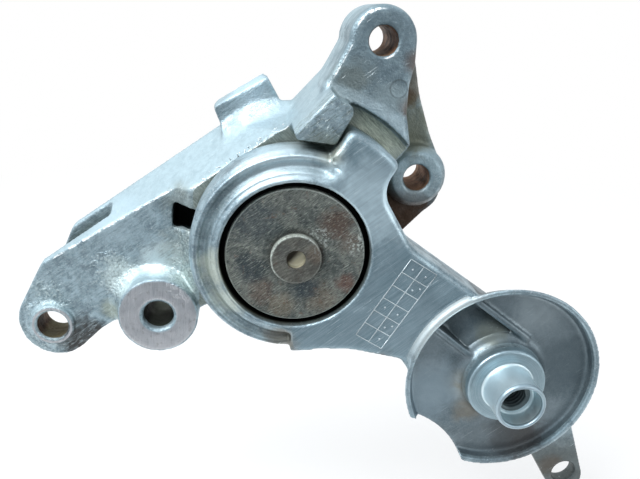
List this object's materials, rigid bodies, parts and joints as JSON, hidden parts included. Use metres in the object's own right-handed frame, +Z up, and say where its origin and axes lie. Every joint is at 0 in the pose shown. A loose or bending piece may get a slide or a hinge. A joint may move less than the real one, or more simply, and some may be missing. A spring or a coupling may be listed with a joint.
{
  "type": "belt tensioner bracket",
  "caption": "Die-cast engine bracket with a spring-loaded tensioner arm, a dished shield and a hollow pulley spigot.",
  "frame": {"origin": "pivot axis at the engine's mounting plane", "axes": "+Y towards the engine along the pivot axis, +X to the right and +Z up, seen from the pulley side"},
  "size_m": [0.2108, 0.0571, 0.1815],
  "materials": {
    "cast_bracket": "as-cast, lightly stained",
    "cast_arm": "as-cast with a brushed machined face",
    "shaft_steel": "turned, worn and tarnished",
    "plate_steel": "scratched, light rust",
    "washer_polymer": "moulded",
    "bushing_bronze": "turned",
    "spring_steel": "drawn wire",
    "damper_polymer": "moulded",
    "sleeve_polymer": "moulded"
  },
  "bodies": {
    "bracket": {"bracket_casting": "cast_bracket", "pivot_shaft": "shaft_steel", "front_end_plate": "plate_steel", "thrust_washer": "washer_polymer", "torsion_spring": "spring_steel", "damper_ring": "damper_polymer", "spring_sleeve": "sleeve_polymer"},
    "arm": {"tensioner_arm": "cast_arm", "pivot_bushing": "bushing_bronze"}
  },
  "joints": [
    {"name": "arm_pivot", "type": "hinge", "parent": "bracket", "child": "arm", "pos_m": [0, 0, 0], "axis": [0, 1, 0], "range_deg": [0, 30], "stiffness_Nm_per_rad": 20, "springref_deg": -60.16}
  ]
}
